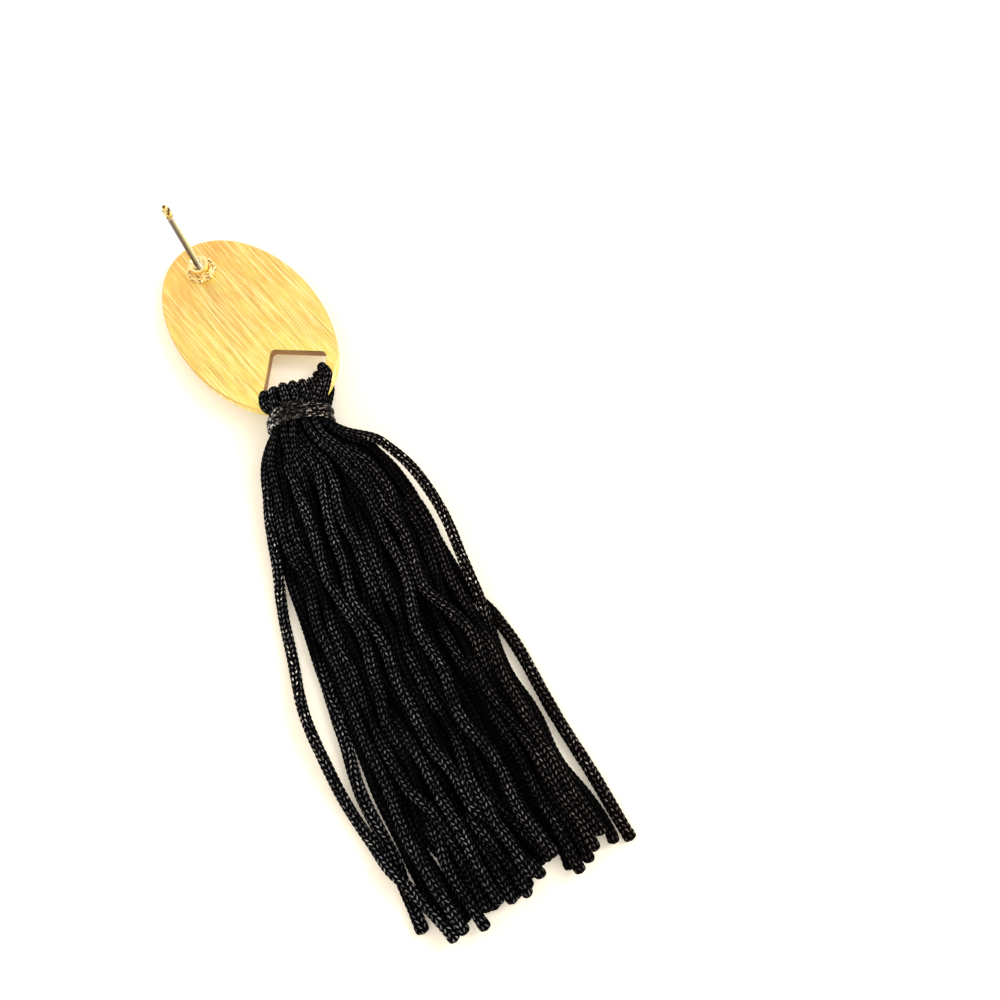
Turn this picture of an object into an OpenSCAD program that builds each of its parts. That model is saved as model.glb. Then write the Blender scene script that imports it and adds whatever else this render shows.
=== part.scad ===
// Tassel earring lying face down: an oval plate with an ear post, and a tassel of folded braided cords.
// Millimetres. +Z is up, z = 0 is the surface that it lies on, and +Y points to the plate's post end.

/* [Oval plate] */
// Length of the oval plate
plate_l = 25.4; // [22:0.2:34]
// Width of the oval plate
plate_w = 15.6; // [14.4:0.2:22]
// Thickness of the plate
plate_t = 1.1; // [0.8:0.1:1.6]
// Bevel along the edges of the plate and its window
edge_bevel = 0.12; // [0.06:0.01:0.2]
// Degrees that the loops under the lower rim tilt the plate
plate_tilt = 5; // [4:0.5:6]

/* [Window] */
// Width of the rim between the window and the plate's edge
rim_w = 1.3; // [1:0.1:1.8]
// Distance from the plate's middle down to the window's peak
window_peak = 4.45; // [2:0.05:6]
// Radius of the window's corners
window_corner_r = 0.5; // [0.3:0.05:1]

/* [Boss and post] */
// Distance from the plate's upper edge to the post
post_inset = 3.6; // [2.6:0.1:6]
// Diameter of the ear post
post_d = 0.8; // [0.6:0.05:1.2]
// Length of the post from the plate's back to its tip
post_l = 12; // [9:0.5:14]
// Length of the post's rounded tip
post_tip_l = 0.8; // [0.4:0.1:1.2]
// Distance from the tip to the groove for the ear nut
groove_from_tip = 1.7; // [1.5:0.1:2.5]
// Width of the groove
groove_w = 0.5; // [0.3:0.05:0.7]
// Depth of the groove
groove_depth = 0.07; // [0.04:0.01:0.12]
// Diameter of the soldered boss where it meets the plate
boss_base_d = 3.3; // [2.8:0.1:4]
// Diameter of the boss at its top
boss_top_d = 2.3; // [1.8:0.1:2.7]
// Height of the boss
boss_h = 1.5; // [1:0.1:2.4]
// Depth of the dish in the boss's top
boss_dish = 0.15; // [0.1:0.05:0.35]

/* [Cords] */
// Diameter of one braided cord
cord_d = 1.2; // [1:0.05:1.5]
// Cords side by side in the row of loops, which lies two cords deep
loop_columns = 8; // [7:1:9]
// Share of a cord's diameter that is left where cords press side by side
squeeze = 0.68; // [0.64:0.01:0.7]
// Distance that the row of loops lies to the side of the plate's middle
loop_row_x = -0.55; // [-0.6:0.05:0.4]
// Distance between loops on top of the rim, as a share of their distance in the window
loop_fan = 1.18; // [1:0.02:1.24]
// Distance that the loops shift towards the tassel's side on top of the rim
loop_shift = 0.4; // [0:0.05:0.5]
// Degrees that the loops lean towards the tassel's side
loop_lean = 8; // [0:1:14]

/* [Neck] */
// Width of the bound neck
neck_w = 6.2; // [5.6:0.1:7]
// Thickness of the bound neck
neck_t = 4.6; // [4.2:0.1:5.4]
// Distance that the neck lies to the side of the plate's middle
neck_x = -2.5; // [-3:0.1:0]
// Distance from the plate's lower edge to the middle of the binding
neck_drop = 0.9; // [0.9:0.05:1.6]
// Degrees that the neck leans to the side
neck_lean = 28; // [10:1:32]
// Diameter of the binding thread
thread_d = 0.45; // [0.3:0.05:0.5]
// Turns of the binding thread
thread_turns = 4; // [3:1:4]

/* [Tassel] */
// Length of the tassel from the binding to the longest tips
tassel_l = 53.5; // [35:0.5:80]
// Widest spread of the cords over the surface
spread_w = 22.7; // [19:0.1:32]
// Degrees that the tassel leans to the side
tassel_lean = 12.6; // [6:0.2:18]

/* [Fits] */
// Space between pieces that lie on each other
gap = 0.1; // [0.08:0.01:0.15]

/* [Hidden] */
$fn = 64;
oval_sides = 120;
// Rings of a lock that stand at half the distance, near the neck
close_rings = 14;
eps = 0.01;

// Middle line of the rim, as an ellipse
rim_mid_l = plate_l / 2 - rim_w / 2;
rim_mid_w = plate_w / 2 - rim_w / 2;
post_y = plate_l / 2 - post_inset;

// Direction of the neck and of the tassel over the surface, and the line across each
neck_dir = [-sin(neck_lean), -cos(neck_lean)];
neck_across = [cos(neck_lean), -sin(neck_lean)];
tassel_dir = [-sin(tassel_lean), -cos(tassel_lean)];
tassel_across = [cos(tassel_lean), -sin(tassel_lean)];
neck_mid = [neck_x, -plate_l / 2 * sqrt(1 - pow(neck_x / (plate_w / 2), 2)) - neck_drop];
// The binding just clears the surface under the neck
neck_z = thread_d + gap + neck_t / 2;
wrap_h = thread_turns * thread_d;
// The cords keep their bound width this far past the binding, and start this far past its middle
bound_past = 0.3;
bound_start = 0.1;
neck_end = wrap_h / 2 + bound_past;
// Ends of the bound core, off the strips' own rings
core_shift = 0.1;
core_spare = 0.03;
core_start = core_shift - wrap_h / 2;
core_end = core_shift + core_spare + wrap_h / 2;
// Share of the neck's height that its two layers of strips fill
neck_fill = 0.88;
// The row of loops' legs takes this share of the neck's width
leg_share = 0.86;
leg_overlap = 1.06;
leg_w = leg_overlap * leg_share * neck_w / loop_columns;

// Room that the loops leave under the rim besides the gap, and the legs above it where they cross it
under_rim = 0.06;
over_rim = 0.12;
// The loops' legs turn level this far before the binding and end this far before its middle
leg_entry = 0.05;
leg_end = 0.3;
// The lower legs dip this far below the rim, and no leg is thinner than this
leg_dip = 0.15;
low_leg_t = 0.22;
high_leg_t = 0.3;

loop_pitch = squeeze * cord_d;
// Cords side by side in the tassel's lower layer
lower_cords = 17;
// Height of the upper layer over the lower one, in cords
nesting = 0.87;

// Corners of a strip's cross-section, as shares of half its width and half its height
STRIP = [[1, 0], [0.66, 1], [-0.66, 1], [-1, 0], [-0.66, -1], [0.66, -1]];

// Row of loops: place along the row from -1 to 1, and depth of the cords there, in cords
LOOPS = [[-1, 0.6], [-0.6, 1.3], [-0.3, 1.7], [0, 1.5], [0.35, 0.95], [1, 0.55]];

// Spread of the cords: distance along the tassel as a share of tassel_l, and the left and right
// edges as shares of spread_w
SPREAD = [
    [0.05, -0.253, 0.190],
    [0.10, -0.315, 0.270],
    [0.17, -0.375, 0.365],
    [0.26, -0.440, 0.398],
    [0.38, -0.510, 0.396],
    [0.49, -0.552, 0.390],
    [0.60, -0.568, 0.416],
    [0.74, -0.560, 0.425],
    [0.88, -0.495, 0.434],
    [1.00, -0.505, 0.450]
];

// Locks: place across the spread from -1 to 1 at each of the shares in STOPS, layer, width and height in
// cords, and reach as a share of tassel_l
STOPS = [0, 0.42, 0.70, 1];
LOCKS = [
    [-0.95, -1.00, -1.00, -1.00, 0, 1.05, 1.0, 0.970],
    [-0.95, -0.64, -0.88, -0.80, 0, 1.70, 1.0, 0.995],
    [-0.52, -0.40, -0.60, -0.52, 0, 3.00, 1.0, 0.985],
    [-0.20, -0.10, -0.14, -0.18, 0, 3.00, 1.0, 0.990],
    [ 0.12,  0.20,  0.20,  0.16, 0, 3.00, 1.0, 0.965],
    [ 0.46,  0.52,  0.56,  0.54, 0, 3.00, 1.0, 0.990],
    [ 0.72,  0.78,  0.82,  0.85, 0, 1.20, 1.0, 0.970],
    [ 0.95,  1.00,  1.00,  1.00, 0, 1.15, 1.2, 0.980],
    [-0.70, -0.46, -0.58, -0.64, 1, 2.90, 1.0, 1.000],
    [-0.36, -0.18, -0.26, -0.34, 1, 3.00, 1.0, 0.995],
    [ 0.00,  0.10,  0.06,  0.00, 1, 3.00, 1.0, 0.990],
    [ 0.36,  0.36,  0.36,  0.34, 1, 2.90, 1.0, 0.970],
    [ 0.78,  0.66,  0.67,  0.67, 1, 2.10, 1.0, 0.965]
];

function unit(v) = v / norm(v);
function mix(a, b, s) = a + (b - a) * s;
function ease(s) = let (c = min(max(s, 0), 1)) c * c * (3 - 2 * c);
function column(table, c) = [for (row = table) [row[0], row[c]]];

// Smooth curve through points, with steps points for each stretch
function curve(p, steps) = let (n = len(p)) [
    for (i = [0 : n - 2], k = [0 : steps - 1])
        curve_point(p[max(i - 1, 0)], p[i], p[i + 1], p[min(i + 2, n - 1)], k / steps),
    p[n - 1]
];
function curve_point(a, b, c, d, s) =
    b + s * (c - a) / 2 + s * s * (a - 2.5 * b + 2 * c - d / 2) + s * s * s * (1.5 * (b - c) + (d - a) / 2);

function heading(p, i) = unit(p[min(i + 1, len(p) - 1)] - p[max(i - 1, 0)]);

// One ring of a strip: middle, and vectors for half its width and half its height
function ring(mid, side, up) = [
    for (q = STRIP) let (p = mid + side * q[0] + up * q[1]) [p[0], p[1], max(p[2], 0)]
];

// Closed body through rings that have the same number of corners
module body_through(rings) {
    n = len(rings[0]);
    last = len(rings) - 1;
    sides = [for (i = [0 : last - 1], j = [0 : n - 1]) let (a = i * n + j, b = i * n + (j + 1) % n)
        each [[a, b, b + n], [a, b + n, a + n]]];
    polyhedron(
        points = [for (r = rings) each r],
        faces = concat(sides, [[for (j = [n - 1 : -1 : 0]) j]], [[for (j = [0 : n - 1]) last * n + j]])
    );
}

// Places a point of the level plate where the tilted plate holds it
function tilted(p) = [
    p[0],
    plate_l / 2 + (p[1] - plate_l / 2) * cos(plate_tilt) + p[2] * sin(plate_tilt),
    (plate_l / 2 - p[1]) * sin(plate_tilt) + p[2] * cos(plate_tilt)
];

module window_outline(grow) {
    offset(delta = grow)
    offset(r = window_corner_r)
    offset(delta = -window_corner_r)
    intersection() {
        scale([plate_w / 2 - rim_w, plate_l / 2 - rim_w]) circle(r = 1, $fn = oval_sides);
        translate([0, -window_peak]) rotate(225) square(plate_l);
    }
}

module window_cut() {
    translate([0, 0, -eps]) linear_extrude(plate_t + 2 * eps) window_outline(0);
    for (z = [0, plate_t]) hull() {
        translate([0, 0, z - edge_bevel]) linear_extrude(eps) window_outline(z == 0 ? edge_bevel : 0);
        translate([0, 0, z + edge_bevel - eps]) linear_extrude(eps) window_outline(z == 0 ? 0 : edge_bevel);
    }
}

module plate_blank() {
    scale([plate_w / 2, plate_l / 2, 1]) {
        inset = edge_bevel / (plate_w / 2);
        $fn = oval_sides;
        cylinder(r1 = 1 - inset, r2 = 1, h = edge_bevel);
        translate([0, 0, edge_bevel]) cylinder(r = 1, h = plate_t - 2 * edge_bevel);
        translate([0, 0, plate_t - edge_bevel]) cylinder(r1 = 1, r2 = 1 - inset, h = edge_bevel);
    }
}

// Flared foot, waist, lip and dished top of the soldered boss
module boss() {
    steps = 8;
    foot_t = 0.08 * boss_h;
    waist_r = 0.44 * boss_top_d;
    lip = 0.1 * boss_top_d;
    flare_h = boss_h - foot_t - 2.4 * lip;
    rotate_extrude() polygon(concat(
        [[0, -edge_bevel], [boss_base_d / 2, -edge_bevel]],
        [for (k = [0 : steps]) [
            boss_base_d / 2 - (boss_base_d / 2 - waist_r) * sin(90 * k / steps),
            foot_t + flare_h * (1 - cos(90 * k / steps))
        ]],
        [for (k = [0 : steps]) [
            boss_top_d / 2 - lip + lip * cos(180 * k / steps - 60),
            boss_h - lip + lip * sin(180 * k / steps - 60)
        ]],
        [[post_d / 2 + lip, boss_h - boss_dish], [0, boss_h - boss_dish]]
    ));
}

module post() {
    steps = 8;
    r = post_d / 2;
    groove_z = post_l - groove_from_tip;
    rotate_extrude() polygon(concat(
        [[0, 0], [r, 0]],
        [for (k = [0 : 4]) [r - groove_depth * sin(45 * k), groove_z + (k / 4 - 0.5) * groove_w]],
        [for (k = [0 : steps]) [r * cos(90 * k / steps), post_l - post_tip_l * (1 - sin(90 * k / steps))]]
    ));
}

module oval_plate() {
    color("goldenrod") placed()
    translate([0, plate_l / 2, 0]) rotate([-plate_tilt, 0, 0]) translate([0, -plate_l / 2, 0]) {
        difference() {
            plate_blank();
            window_cut();
        }
        translate([0, post_y, plate_t]) {
            boss();
            post();
        }
    }
}

// Point of the neck at a share from -1 to 1 across it, and a distance along it
function neck_point(share, along, z) = let (
    p = neck_mid + neck_across * share * neck_w / 2 + neck_dir * along
) [p[0], p[1], z];

// Height of one of the neck's two layers at a share across it, for a strip of the given width
function neck_layer(share, width) =
    neck_fill * neck_t / 2 * sqrt(1 - pow(min(abs(share) + width / neck_w, 0.98), 2));

// Place of a column of loops, from 0 in the window to 1 on top of the rim
function loop_x(i, top) = loop_row_x - top * loop_shift
    + (i - (loop_columns - 1) / 2) * loop_pitch * mix(1, loop_fan, top);

// Point of a column's route, at a distance from the rim's middle line towards the tassel, and above it
function loop_point(i, top, along, up) = let (
    x = loop_x(i, top),
    slope = sqrt(1 - pow(x / rim_mid_w, 2)),
    rim = tilted([x, -rim_mid_l * slope, plate_t / 2]),
    out = unit([x / rim_mid_w / rim_mid_w, -slope / rim_mid_l]),
    run = [-sin(loop_lean), -cos(loop_lean)] / (-out[0] * sin(loop_lean) - out[1] * cos(loop_lean))
) [rim[0] + run[0] * along, rim[1] + run[1] * along, rim[2] + up];

// Route of one column of loops round the rim, from the neck's lower half to its upper half, as
// pairs of a point on the side that faces the rim and one on the outer side
function loop_route(i) = let (
    hole = rim_w / 2 + 1.6 * gap,
    lift = plate_t / 2 + gap,
    drop = lift + under_rim,
    below = loop_point(i, 0, 0, -drop)[2],
    above = loop_point(i, 1, 0, lift)[2] + over_rim,
    share = (i - (loop_columns - 1) / 2) / (loop_columns / 2),
    thick = lookup(share, LOOPS) * cord_d,
    bend = 0.72 * mix(below, thick, 0.5),
    entry = -wrap_h / 2 - leg_entry,
    layer = neck_layer(leg_share * share, leg_w),
    low = below - leg_dip
) [
    leg_pair(share, -leg_end, neck_z - gap, neck_z - layer),
    leg_pair(share, entry, low, min(neck_z - layer, low - low_leg_t)),
    [loop_point(i, 0, 0, -drop), loop_point(i, 0, 0, -drop - below)],
    [loop_point(i, 0, -hole, -drop), loop_point(i, 0, -hole - bend, -drop - bend)],
    [loop_point(i, 0, -hole, 0), loop_point(i, 0, -hole - thick, 0)],
    [loop_point(i, 0.5, -hole, lift), loop_point(i, 0.5, -hole - 0.74 * thick, lift + 0.74 * thick)],
    [loop_point(i, 1, 0, lift), loop_point(i, 1, 0, lift + thick)],
    leg_pair(share, entry, above, max(neck_z + layer, above + high_leg_t)),
    leg_pair(share, -leg_end, neck_z + gap, neck_z + layer)
];
function leg_pair(share, along, z_near, z_far) =
    [neck_point(leg_share * share, along, z_near), neck_point(leg_share * share, along, z_far)];

// Half the width of a column of loops, laid along the rim
function loop_side(i, top) = let (x = loop_x(i, top))
    [1, rim_mid_l * x / (rim_mid_w * rim_mid_w * sqrt(1 - pow(x / rim_mid_w, 2))), 0]
        * loop_pitch * mix(1, loop_fan, top) * leg_overlap / 2;

module loop_column(i) {
    steps = 2;
    route = loop_route(i);
    near = curve([for (r = route) r[0]], steps);
    far = curve([for (r = route) r[1]], steps);
    last = len(near) - 1;
    leg_side = [neck_across[0], neck_across[1], 0] * leg_w / 2;
    body_through([
        for (k = [0 : last]) let (from_end = min(k, last - k)) if (from_end % 2 == 0 || from_end > 4)
            let (legs = ease(2 - from_end / steps), top = ease((k / last - 0.5) * 4))
            ring((near[k] + far[k]) / 2, mix(loop_side(i, top), leg_side, legs), (near[k] - far[k]) / 2)
    ]);
}

// Bound part of the neck
module neck_core() {
    sides = 16;
    body_through([for (along = [core_end, core_start]) [
        for (k = [0.5 : sides - 0.5])
            neck_point(cos(360 * k / sides), along, neck_z + neck_t / 2 * sin(360 * k / sides))
    ]]);
}

// Place across the spread of a lock, at a share of the tassel's length
function lock_place(row, s) = let (k = s < STOPS[1] ? 0 : s < STOPS[2] ? 1 : 2)
    mix(row[k], row[k + 1], ease((s - STOPS[k]) / (STOPS[k + 1] - STOPS[k])));

function bound_width(row) = neck_w * row[5] / lower_cords;
function bound_height(row) = neck_layer(leg_share * row[0], bound_width(row));
function lock_width(row, s) = mix(bound_width(row), row[5] * cord_d, ease(s / 0.16));
function lock_height(row, s) = mix(bound_height(row), row[6] * cord_d, ease(s / 0.16));
function lock_z(row, s) = let (high = lock_height(row, s), lying = high / 2 + row[4] * nesting * cord_d)
    mix(neck_z + (row[4] - 0.5) * 0.9 * bound_height(row), lying, ease(s / 0.14));

function lock_point(row, s) = let (
    left = lookup(s, column(SPREAD, 1)) * spread_w,
    right = lookup(s, column(SPREAD, 2)) * spread_w,
    reach = (right - left - lock_width(row, s)) / 2,
    p = neck_mid + tassel_dir * s * tassel_l
        + tassel_across * ((left + right) / 2 + reach * lock_place(row, s))
) [p[0], p[1], lock_z(row, s)];

function lock_stations(row) = [for (r = SPREAD) if (r[0] < row[7] - 0.02) r[0]];

function lock_mids(row) = curve(concat(
    [for (along = [bound_start, neck_end]) neck_point(leg_share * row[0], along, lock_z(row, 0))],
    [for (s = concat(lock_stations(row), [row[7]])) lock_point(row, s)]
), 2);
function lock_shares(row) = curve(concat([0, 0.01], lock_stations(row), [row[7]]), 2);

function lock_rings(row) = let (mids = lock_mids(row), shares = lock_shares(row)) [
    for (k = [0 : len(mids) - 1]) if (k < close_rings || k % 2 == 0 || row[5] < 2)
        let (head = heading(mids, k), side = unit([-head[1], head[0], 0]))
        ring(mids[k], side * lock_width(row, shares[k]) / 2,
            unit(cross(side, head)) * lock_height(row, shares[k]) / 2)
];

module tassel() {
    color("#17171a") placed() {
        for (i = [0 : loop_columns - 1]) loop_column(i);
        neck_core();
        for (row = LOCKS) body_through(lock_rings(row));
    }
}

// One ring of the binding's section: flat inside, one bulge for each turn outside
function wrap_section() = concat(
    [[wrap_h / 2, 0], [-wrap_h / 2, 0]],
    [for (turn = [0 : thread_turns - 1], a = [150, 90, 30])
        [(turn + 0.5) * thread_d - wrap_h / 2 + cos(a) * thread_d / 2, (1 + sin(a)) * thread_d / 2]]
);

module neck_wrap() {
    sides = 36;
    section = wrap_section();
    n = len(section);
    points = [for (k = [0 : sides - 1], q = section) let (a = 360 * k / sides)
        neck_point(0, q[0], neck_z)
        + [neck_across[0], neck_across[1], 0] * (neck_w / 2 + gap + q[1]) * cos(a)
        + [0, 0, 1] * (neck_t / 2 + gap + q[1]) * sin(a)];
    faces = [for (k = [0 : sides - 1], j = [0 : n - 1])
        let (a = k * n + j, b = k * n + (j + 1) % n, m = ((k + 1) % sides) * n - k * n)
        each [[a, b, b + m], [a, b + m, a + m]]];
    color("#26262c") placed() polyhedron(points = points, faces = faces);
}

// Moves the middle of the whole earring's box over the origin
lock_corners = [for (row = LOCKS) each [for (r = lock_rings(row)) each r]];
box_left = min([for (p = lock_corners) p[0]]);
box_right = max(plate_w / 2, max([for (p = lock_corners) p[0]]));
box_low = min([for (p = lock_corners) p[1]]);
box_high = tilted([0, plate_l / 2, plate_t - edge_bevel])[1];

module placed() {
    translate([-(box_left + box_right) / 2, -(box_low + box_high) / 2, 0]) children();
}

oval_plate();
tassel();
neck_wrap();
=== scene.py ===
import math
from functools import partial

import bpy
import numpy as np
from mathutils import Matrix, Vector


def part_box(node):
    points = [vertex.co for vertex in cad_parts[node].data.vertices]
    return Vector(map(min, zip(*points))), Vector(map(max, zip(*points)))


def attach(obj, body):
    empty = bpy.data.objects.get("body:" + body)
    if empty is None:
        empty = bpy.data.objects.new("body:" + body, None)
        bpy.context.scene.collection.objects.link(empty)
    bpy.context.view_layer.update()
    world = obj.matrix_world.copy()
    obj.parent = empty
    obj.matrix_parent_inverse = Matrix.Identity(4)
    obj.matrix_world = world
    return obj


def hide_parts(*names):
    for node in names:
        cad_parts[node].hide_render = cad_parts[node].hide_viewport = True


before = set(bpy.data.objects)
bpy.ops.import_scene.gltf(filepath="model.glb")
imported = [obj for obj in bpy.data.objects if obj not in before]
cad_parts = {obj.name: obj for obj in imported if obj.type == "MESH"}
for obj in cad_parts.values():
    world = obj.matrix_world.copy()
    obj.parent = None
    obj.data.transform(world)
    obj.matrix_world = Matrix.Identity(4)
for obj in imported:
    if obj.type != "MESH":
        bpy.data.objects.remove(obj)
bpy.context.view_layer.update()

print("frame loaded:", ", ".join(sorted(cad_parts)))

# Sizes here are in millimetres. Places count from the middle of the plate's underside as if it lay level,
# and toScene brings them into the part's frame in metres.
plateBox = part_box("oval_plate")
plate = {
    "length": 25.4,
    "width": 15.6,
    "thickness": 1.1,
    "tilt": 5.0,
    "rim": 1.3,
    "bevel": 0.12,
    "postInset": 3.6,
    "postReach": 0.46,        # the post's colour goes this far round its middle line
    "bossReach": 1.66,
    "bossBase": 0.02,
    "bossHeight": 1.5,
    "bossDish": 0.14,
}
fullTurn = 6.28               # radians, near enough for waves
tilt = math.radians(plate["tilt"])
highEdge = plate["length"] / 2 + (plate["thickness"] - plate["bevel"]) * math.sin(tilt)
shiftX = (plateBox[0][0] + plateBox[1][0]) / 2 * 1000
shiftY = plateBox[1][1] * 1000 - highEdge


def toScene(points):
    return (np.asarray(points, float) + [shiftX, shiftY, 0]) / 1000


def ease(x):
    x = np.clip(x, 0, 1)
    return x * x * (3 - 2 * x)


def mix(a, b, share):
    return a + (b - a) * share


# Camera and lights are in metres
camera = {
    "place": (-0.004838, -0.0382027, 0.1187989),
    "right": (0.7655, -0.6424, -0.0364),
    "forward": (0.1726, 0.2595, -0.9502),
    "lens": 43.2,
    "sensor": 36.0,
    "near": 0.005,
    "far": 20.0,
}
lights = {
    "windowWatts": 1.0,       # soft lamp to the right of the picture
    "windowSize": 0.16,
    "windowPlace": (0.34, -0.12, 0.40),
    "windowTarget": (0.0, -0.005, 0.0),
    "lampColour": "#FFFDF8",
    "paperHalf": 3.0,
    "paperDrop": 0.00002,
    # The paper's own painted glow, which keeps its shadows pale
    "paperGlow": 0.20,
    # A bright tent of light: brightest low down all round, a little dimmer above
    "roomStrength": 1.5,
    "roomUp": (0.22, -0.18, 0.96),
    "roomLow": "#BFA98A",     # far side of the room, away from the window
    "roomSide": "#FFF6E6",
    "sideAt": 0.24,
    "roomAbove": "#E2DED4",
    "aboveAt": 0.75,
}


def srgb(code):
    code = code.lstrip("#")
    values = [int(code[i:i + 2], 16) / 255 for i in (0, 2, 4)]
    return tuple(v / 12.92 if v <= 0.04045 else ((v + 0.055) / 1.055) ** 2.4 for v in values) + (1.0,)


def setUp(node, settings=None, links=None):
    # Links lead from a socket, or from the first output of a node
    for name, value in (settings or {}).items():
        value = srgb(value) if str(value).startswith("#") else value
        if isinstance(name, int) or name in node.inputs:
            node.inputs[name].default_value = value
        else:
            setattr(node, name, value)
    for name, source in (links or {}).items():
        if isinstance(source, bpy.types.Node):
            source = next(socket for socket in source.outputs if socket.enabled)
        node.id_data.links.new(source, node.inputs[name])
    return node


def addNode(tree, kind, settings=None, links=None):
    return setUp(tree.nodes.new("ShaderNode" + kind), settings, links)


def newMaterial(name):
    # Material, its shader, and what adds a node to it
    material = bpy.data.materials.new(name)
    material.use_nodes = True
    tree = material.node_tree
    return material, tree.nodes["Principled BSDF"], partial(addNode, tree)


def setUpCamera():
    data = bpy.data.cameras.new("photoCamera")
    data.lens = camera["lens"]
    data.sensor_width = camera["sensor"]
    data.clip_start = camera["near"]
    data.clip_end = camera["far"]
    right = Vector(camera["right"]).normalized()
    back = -Vector(camera["forward"]).normalized()
    up = back.cross(right).normalized()
    right = up.cross(back)
    turn = Matrix((right, up, back)).transposed()
    obj = bpy.data.objects.new("photoCamera", data)
    obj.matrix_world = Matrix.Translation(camera["place"]) @ turn.to_4x4()
    bpy.context.collection.objects.link(obj)
    bpy.context.scene.camera = obj


def whitePaper():
    # Matt photo paper, a warm white that only shows where it is shaded. The sheet itself glows faintly, a
    # painted glow that keeps the shadows on it pale.
    material, shader, add = newMaterial("white photo paper, matt")
    setUp(shader, {"Base Color": "#F6F1E6", "Roughness": 0.9, "Specular IOR Level": 0.2,
                   "Emission Color": "#FFF3E2", "Emission Strength": lights["paperGlow"]})
    return material


def addWindowLamp():
    data = bpy.data.lights.new("windowLamp", "AREA")
    data.energy = lights["windowWatts"]
    data.size = lights["windowSize"]
    data.color = srgb(lights["lampColour"])[:3]
    obj = bpy.data.objects.new("windowLamp", data)
    obj.location = lights["windowPlace"]
    beam = Vector(lights["windowTarget"]) - Vector(lights["windowPlace"])
    obj.rotation_euler = beam.to_track_quat("-Z", "Y").to_euler()
    bpy.context.collection.objects.link(obj)


def setUpStage():
    mesh = bpy.data.meshes.new("paperSheet")
    half = lights["paperHalf"]
    corners = [(-half, -half, 0), (half, -half, 0), (half, half, 0), (-half, half, 0)]
    mesh.from_pydata(corners, [], [(0, 1, 2, 3)])
    sheet = bpy.data.objects.new("paperSheet", mesh)
    sheet.location.z = -lights["paperDrop"]
    bpy.context.collection.objects.link(sheet)
    mesh.materials.append(whitePaper())
    addWindowLamp()
    world = bpy.data.worlds.new("paleRoom")
    world.use_nodes = True
    add = partial(addNode, world.node_tree)
    coords = add("TexCoord")
    facing = add("VectorMath", {"operation": "DOT_PRODUCT", 1: lights["roomUp"]},
                 {0: coords.outputs["Generated"]})
    ramp = add("ValToRGB", links={0: facing})
    ramp.color_ramp.elements[0].position = 0.0
    ramp.color_ramp.elements[0].color = srgb(lights["roomLow"])
    ramp.color_ramp.elements[1].position = lights["aboveAt"]
    ramp.color_ramp.elements[1].color = srgb(lights["roomAbove"])
    ramp.color_ramp.elements.new(lights["sideAt"]).color = srgb(lights["roomSide"])
    setUp(world.node_tree.nodes["Background"], {"Strength": lights["roomStrength"]}, {"Color": ramp})
    bpy.context.scene.world = world
    bpy.context.scene.view_settings.view_transform = "Standard"


setUpCamera()
setUpStage()
print("camera, paper and lamps are set")


gold = {
    "pale": "#F0E080",
    "deep": "#E8B364",
    # Pale strokes are painted highlights of the brushing
    "shineStreak": "#FFF6B8",
    # Brown strokes are scratches with painted shade on their sides
    "scratch": "#A06F3A",
    "noises": {               # spots to a mm, and detail
        "clouds": (0.28, 2.0),
        "grain": (1 / 0.11, 1.0),   # the real one is finer than the picture shows
        "solder": (2.6, 1.0),
        "tipSpots": (2.2, 1.0),
    },
    "patchGap": 0.6,          # mm between broad bands of tone
    "patchLength": 7.0,
    "toneShares": {"clouds": 1.3, "patches": 0.8, "grain": 1.1},
    "slope": (-0.012, -0.03, 0),    # tone gained in a mm, across and along the plate
    # Strokes, the lowest first: colour, degrees off the plate's length, mm between their rows, mm from one to
    # the next in a row, half their width in mm, strength. The real ones are nearer 0.03 mm wide.
    "strokes": [
        ("scratch", -1.2, 0.19, 3.5, 0.035, 0.3),
        ("shineStreak", 0.7, 0.17, 4.5, 0.035, 0.5),
        ("scratch", -0.5, 0.42, 30.0, 0.05, 0.6),
        ("shineStreak", -2.0, 0.24, 12.0, 0.05, 0.6),
        ("shineStreak", 1.5, 0.3, 22.0, 0.065, 0.85),
    ],
    "strokeCore": 0.4,        # share of a stroke's width that has its full strength
    "strokeGloss": 0.12,      # by which the roughness falls in the longest strokes
    "strokeDepth": 0.3,
    "strokeRelief": 0.02,     # mm
    "roughness": 0.40,
    "bossColour": "#F6DDA0",
    # Dark reflections painted in spots on the lumps at the boss's foot
    "paintedDarkReflection": "#9A6A2E",
    "bossRoughness": 0.14,
    "solderRelief": 0.4,      # mm
    # A face is a bevel where its normal's share along the plate's is about this, and a wall where it is less
    "bevelSlope": 0.65,
    "bevelSpread": 0.25,
    "wallSlope": 0.4,
    "windowShare": 0.93,      # of the oval; walls farther out are the plate's own edge
    # Painted shade of the window's recess on a duller sawn finish
    "dullWallAndShade": "#B08862",
    "wallRoughness": 0.5,
    # A duller cut gold with a painted highlight along the edges
    "dullEdgeAndShine": "#DFBE7C",
    # Steel painted dark as a reflection on the picture's left, with a painted highlight on its right
    "postColour": "#6E6B75",
    "postHighlight": "#D3DDF6",
    "postRight": (0.77, -0.64, 0),
    "postRoughness": 0.38,
    "tipColour": "#E6D49A",
    "tipSpot": "#57462F",
    "tipFrom": 9.9,           # mm over the plate
    "tipFull": 10.4,
}


def strokes(add, vector, degrees, gap, length, width, strength):
    # Mask of thin straight strokes at random places, tapered at both ends
    c, d = math.cos(math.radians(degrees)), math.sin(math.radians(degrees))
    row = add("VectorMath", {"operation": "DOT_PRODUCT", 1: (c / gap, d / gap, 0)}, {0: vector})
    along = add("VectorMath", {"operation": "DOT_PRODUCT", 1: (-d / length, c / length, 0)}, {0: vector})
    cell = add("CombineXYZ", links={"X": row, "Y": along})
    spot = add("TexVoronoi", {"voronoi_dimensions": "2D", "Scale": 1.0}, {"Vector": cell})
    core = gold["strokeCore"] * width
    mask = add("MapRange", {"From Min": width / gap, "From Max": core / gap, "To Max": strength},
               {"Value": spot})
    return mask


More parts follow.
